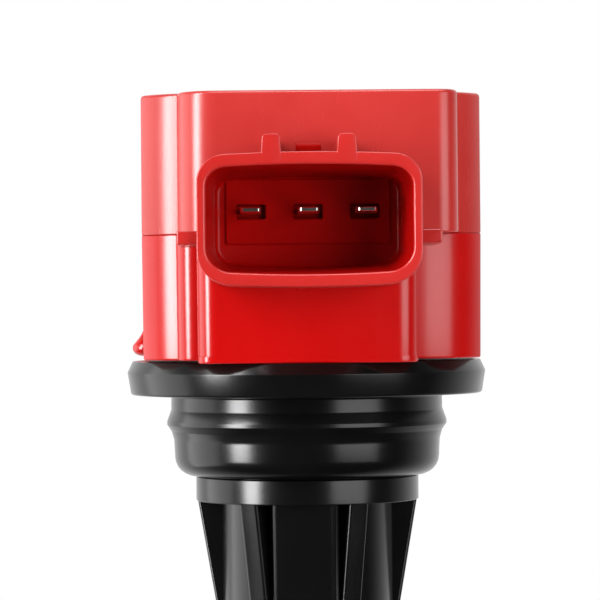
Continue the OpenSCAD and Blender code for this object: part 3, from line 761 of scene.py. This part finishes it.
# ---------------------------------------------------------------- boot
BOOT_R = 10.4
RIDGE_R = 11.0
RIDGES_Z = (50, 54, 58)
RIDGE_HEIGHT = 1.6
SKIRT_R = 9.2
INSULATOR_R = 5.0
INSULATOR_DEPTH = 21.0
NOSE_HOLE_R = 6.6
NOSE_HOLE_Z = 46.2
CHAMBER_R = 4.1
CHAMBER_Z = 25.2
THROAT_R = 3.4
boot_shape = Shape()
boot_rings = []
for z in RIDGES_Z:
    boot_rings += [
        (BOOT_R, z, 0.3), (RIDGE_R, z, 0.5),
        (RIDGE_R, z + RIDGE_HEIGHT, 0.5), (BOOT_R, z + RIDGE_HEIGHT, 0.3),
    ]
boot_shape.revolve(profile_path([
    (INSULATOR_R, 0.0, 0.35), (SKIRT_R - 0.5, 0.0, 0.3), (SKIRT_R, 0.8, 0.5),
    (SKIRT_R, 30, 6), (BOOT_R, 42, 6),
    *boot_rings,
    (BOOT_R, mm(boot_high.z), 0.6), (NOSE_HOLE_R, mm(boot_high.z), 0.1), (NOSE_HOLE_R, NOSE_HOLE_Z, 0.1),
    (CHAMBER_R, NOSE_HOLE_Z, 0), (CHAMBER_R, CHAMBER_Z, 0), (THROAT_R, CHAMBER_Z, 0.2),
    (THROAT_R, INSULATOR_DEPTH + 1.5, 0.4), (INSULATOR_R, INSULATOR_DEPTH, 0.4),
]), segments=128)
boot = boot_shape.build("boot_rubber", BOOT_RUBBER, "black_rubber", angle=35)
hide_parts("plug_boot")

# ---------------------------------------------------------------- bushing, terminals, potting
bushing_shape = Shape()
bushing_shape.revolve(profile_path([
    (BOLT_R, mm(bushing_low.z), 0.25), (BUSHING_R, mm(bushing_low.z), 0.3),
    (BUSHING_R, mm(bushing_high.z), 0.3), (BOLT_R, mm(bushing_high.z), 0.25),
]), segments=96)
bushing_shape.points = [(x, y + EAR_Y, z) for x, y, z in bushing_shape.points]
bushing = bushing_shape.build("bushing_sleeve", STEEL, "steel", angle=40)
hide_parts("mounting_bushing")

BLADE_HALF_W = 1.15
BLADE_HALF_T = 0.32
BLADE_Z = mm(blade_low.z) + BLADE_HALF_T
BLADE_TIP_Y = mm(blade_low.y)
BLADE_PITCH = 6.3
CELL_HALF_W = 1.6
CELL_HALF_H = 0.8
CELL_DEPTH = 1.45
carrier_front = mm(carrier_low.y)


def cell(x, d):
    half_w, half_h = CELL_HALF_W + d, CELL_HALF_H + d
    return rectangle(x - half_w, x + half_w, BLADE_Z - half_h, BLADE_Z + half_h, 0.2 + d, 4)


def make_carrier():
    """The terminal insert: a plate with a soft edge and a pocket round each blade."""
    shape = Shape()
    edge = carrier_outline(0.0)
    front = [(p.x, carrier_front, p.y) for p in inset(edge, 0.12)]
    back = [(p.x, mm(carrier_high.y), p.y) for p in edge]
    side = [(p.x, carrier_front + 0.12, p.y) for p in edge]
    shape.loft([back, side, front], cap_low=True)
    mouths = []
    for i in (-1, 0, 1):
        x = i * BLADE_PITCH
        levels = ((carrier_front, 0.12), (carrier_front + 0.12, 0.0), (carrier_front + CELL_DEPTH, -0.05))
        rings = [[(p.x, y, p.y) for p in cell(x, d)] for y, d in levels]
        mouths.append(rings[0])
        shape.loft(rings, cap_high=True)
    shape.plate([front, *mouths])
    return shape


# The insert on the socket's floor takes the darkened red, which is painted shade in the recess
carrier = make_carrier().build("terminal_insert", RED_PAINTED_RECESS_SHADE, "red_plastic")
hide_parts("terminal_carrier")


def make_blade(x):
    """A blade with a coined, four-sided tip, and its upright leg inside the head."""
    shape = Shape()
    back = mm(blade_high.y)
    rings = []
    for y, half_w, half_t in (
        (back, BLADE_HALF_W, BLADE_HALF_T), (BLADE_TIP_Y + 1.5, BLADE_HALF_W, BLADE_HALF_T),
        (BLADE_TIP_Y + 1.35, 1.12, 0.31), (BLADE_TIP_Y + 0.25, 0.95, 0.23),
        (BLADE_TIP_Y + 0.05, 0.9, 0.2), (BLADE_TIP_Y, 0.82, 0.15),
    ):
        outline = rectangle(x - half_w, x + half_w, BLADE_Z - half_t, BLADE_Z + half_t, 0.05, 2)
        rings.append([(p.x, y, p.y) for p in outline])
    shape.loft(rings, cap_low=True, cap_high=True)
    leg = rectangle(x - BLADE_HALF_W, x + BLADE_HALF_W, back - 2 * BLADE_HALF_T, back, 0.08, 3)
    shape.extrude(leg, BLADE_Z, mm(blade_high.z), 0.05, 0.1, upright)
    return shape


for blade_name, i in (("supply", -1), ("ground", 0), ("signal", 1)):
    blade = make_blade(i * BLADE_PITCH).build(blade_name + "_terminal", TIN, "tin_plate", angle=25)
    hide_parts(blade_name + "_blade")

potting_shape = Shape()
potting_edge = rounded_path(POCKET_CORNERS, 8)
potting_rings = [[(p.x, p.y, z) for p in inset(potting_edge, d)] for z, d in (
    (mm(potting_low.z), 0.02), (POTTING_Z - 0.02, 0.02), (POTTING_Z - 0.06, 0.12),
    (POTTING_Z - 0.14, 0.3), (POTTING_Z - 0.18, 0.7),
)]
potting_shape.loft(potting_rings, cap_low=True, cap_high=True)
potting = potting_shape.build("potting_fill", EPOXY, "epoxy", angle=50)
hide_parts("potting")

# ---------------------------------------------------------------- contact cap and its spring
CAP_TOP = mm(cap_high.z)
CAP_LOW = mm(cap_low.z)
CAP_R = mm(cap_high.x)
CAP_FACE_R = 2.8
CAP_WALL = 0.4
contact_shape = Shape()
contact_shape.revolve(profile_path([
    (0.01, CAP_LOW + 0.25, 0), (1.2, CAP_LOW + 0.2, 0.4), (1.5, CAP_LOW, 0.2),
    (CAP_FACE_R, CAP_LOW, 0.4), (CAP_FACE_R, CAP_LOW + 0.8, 0.1),
    (CAP_R, CAP_LOW + 0.8, 0.35), (CAP_R, CAP_TOP, 0.15), (CAP_R - CAP_WALL, CAP_TOP, 0.15),
    (CAP_R - CAP_WALL, CAP_LOW + 1.6, 0.3), (0.01, CAP_LOW + 1.6, 0),
]), segments=64)
contact = contact_shape.build("contact_tip", BRASS, "brass", body="contact", angle=40)
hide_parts("contact_cap")

SPRING_LOW = mm(spring_low.z)
SPRING_TOP = mm(spring_high.z)
SPRING_R = 2.6
WIRE_R = 0.4


def make_spring(turns=12, steps=28, sides=10):
    """A compression spring whose end turns lie close together and end square."""
    shape = Shape()
    length = SPRING_TOP - SPRING_LOW - 2 * WIRE_R
    closed = 2 * WIRE_R
    rings = []
    for i in range(turns * steps + 1):
        t = i / steps
        if t < 1:
            z = closed * t
        elif t > turns - 1:
            z = length - closed * (turns - t)
        else:
            z = closed + (length - 2 * closed) * (t - 1) / (turns - 2)
        a = 2 * math.pi * t
        ring = []
        for k in range(sides):
            b = 2 * math.pi * k / sides
            r = SPRING_R + WIRE_R * math.cos(b)
            ring.append((r * math.cos(a), r * math.sin(a), SPRING_LOW + WIRE_R + z + WIRE_R * math.sin(b)))
        rings.append(ring)
    shape.loft(rings, cap_low=True, cap_high=True)
    return shape


spring = make_spring().build("spring_wire", STEEL, "steel", angle=60)
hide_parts("contact_spring")
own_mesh(spring)

# ---------------------------------------------------------------- stage, light and camera
scene = bpy.context.scene
FLOOR_R = 0.16
FLOOR_Z = -0.0005
# The floor shows from above only, so that views from below see the part
FLOOR = plastic("studio_floor", (0.82, 0.82, 0.82), (0.84, 0.84, 0.84), (0.6, 0.7))
floor_nodes, floor_links = FLOOR.node_tree.nodes, FLOOR.node_tree.links
one_sided = floor_nodes.new("ShaderNodeMixShader")
floor_links.new(floor_nodes.new("ShaderNodeNewGeometry").outputs["Backfacing"], one_sided.inputs["Fac"])
floor_links.new(floor_nodes["Principled BSDF"].outputs["BSDF"], one_sided.inputs[1])
floor_links.new(floor_nodes.new("ShaderNodeBsdfTransparent").outputs["BSDF"], one_sided.inputs[2])
floor_links.new(one_sided.outputs["Shader"], floor_nodes["Material Output"].inputs["Surface"])
floor_mesh = bpy.data.meshes.new("floor")
floor_ring = [(p.x, p.y, FLOOR_Z) for p in circle(FLOOR_R)]
floor_mesh.from_pydata(floor_ring, [], [tuple(range(len(floor_ring)))])
floor_obj = bpy.data.objects.new("floor", floor_mesh)
floor_mesh.materials.append(FLOOR)
scene.collection.objects.link(floor_obj)
floor_obj.visible_glossy = False

CAMERA_Z = (HEAD_Z + 6.74) * MM
CAMERA_DISTANCE = 0.388
CAMERA_SIDE = math.radians(0.75)
CAMERA_TURN = math.radians(0.6493)
CAMERA_ROLL = math.radians(-0.5)


def softbox(name, azimuth, elevation, distance, width, height, radiance, in_gloss=True):
    """An area light round the head: azimuth 0 is the camera's side, negative is to its left."""
    a, e = math.radians(azimuth), math.radians(elevation)
    target = Vector((0, 0, CAMERA_Z))
    away = Vector((math.sin(a) * math.cos(e), -math.cos(a) * math.cos(e), math.sin(e)))
    light = bpy.data.lights.new(name, "AREA")
    light.shape = "RECTANGLE"
    light.size, light.size_y = width, height
    light.energy = radiance * width * height * math.pi
    obj = bpy.data.objects.new(name, light)
    obj.location = target + away * distance
    obj.rotation_euler = away.to_track_quat("Z", "Y").to_euler()
    obj.visible_glossy = in_gloss
    scene.collection.objects.link(obj)


softbox("key_left", -60, 14, 1.2, 0.38, 1.33, 19)
softbox("side_left", -105, 0, 0.9, 0.7, 0.9, 1.6)
softbox("fill_right", 43, 5, 1.0, 0.7, 0.7, 2.5)
softbox("top_card", 26, 76, 1.2, 1.0, 0.5, 6)
softbox("front_right", 36, -4, 1.0, 0.7, 0.7, 5, in_gloss=False)

# The world brightens towards the back, and is plain white where the camera sees it
world = bpy.data.worlds.new("studio")
scene.world = world
world.use_nodes = True
wn, wl = world.node_tree.nodes, world.node_tree.links
background = wn["Background"]
where = wn.new("ShaderNodeTexCoord")
split = wn.new("ShaderNodeSeparateXYZ")
wl.new(where.outputs["Generated"], split.inputs["Vector"])
behind = wn.new("ShaderNodeMapRange")
behind.interpolation_type = "SMOOTHSTEP"
behind.inputs["From Min"].default_value = -0.1
behind.inputs["From Max"].default_value = 0.9
behind.inputs["To Min"].default_value = 0.03
behind.inputs["To Max"].default_value = 1.0
wl.new(split.outputs["Y"], behind.inputs["Value"])
to_camera = wn.new("ShaderNodeLightPath").outputs["Is Camera Ray"]
seen = combine(wn, wl, "MAXIMUM", behind.outputs["Result"], to_camera)
wl.new(seen, background.inputs["Strength"])
background.inputs["Color"].default_value = (1, 1, 1, 1)

scene.view_settings.view_transform = "Standard"
scene.view_settings.look = "None"

camera_data = bpy.data.cameras.new("camera")
camera_data.sensor_width = 36
camera_data.lens = 198
camera = bpy.data.objects.new("camera", camera_data)
scene.collection.objects.link(camera)
camera_place = Vector((-math.sin(CAMERA_SIDE), -math.cos(CAMERA_SIDE), 0)) * CAMERA_DISTANCE
camera.matrix_world = (
    Matrix.Translation(camera_place + Vector((0, 0, CAMERA_Z)))
    @ Matrix.Rotation(-CAMERA_TURN, 4, "Z")
    @ Matrix.Rotation(math.radians(90), 4, "X")
    @ Matrix.Rotation(CAMERA_ROLL, 4, "Z")
)
scene.camera = camera

# ---------------------------------------------------------------- finishes of the CAD pieces that stay
FINISHES = {
    "igniter_module": DARK, "igniter_heat_sink": ALUMINIUM, "igniter_leads": TIN,
    "center_core": SILICON_STEEL, "outer_core": SILICON_STEEL, "bias_magnet": MAGNET,
    "core_cushions": RUBBER, "primary_bobbin": DARK, "primary_winding": COPPER,
    "supply_lead": COPPER, "switched_lead": COPPER, "secondary_bobbin": CREAM,
    "secondary_winding": COPPER, "hv_diode": DARK, "hv_terminal": BRASS,
    "suppression_resistor": CLAY, "resistor_caps": BRASS,
}
for node_name, material in FINISHES.items():
    node_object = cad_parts[node_name]
    node_object.data.materials.clear()
    node_object.data.materials.append(material)
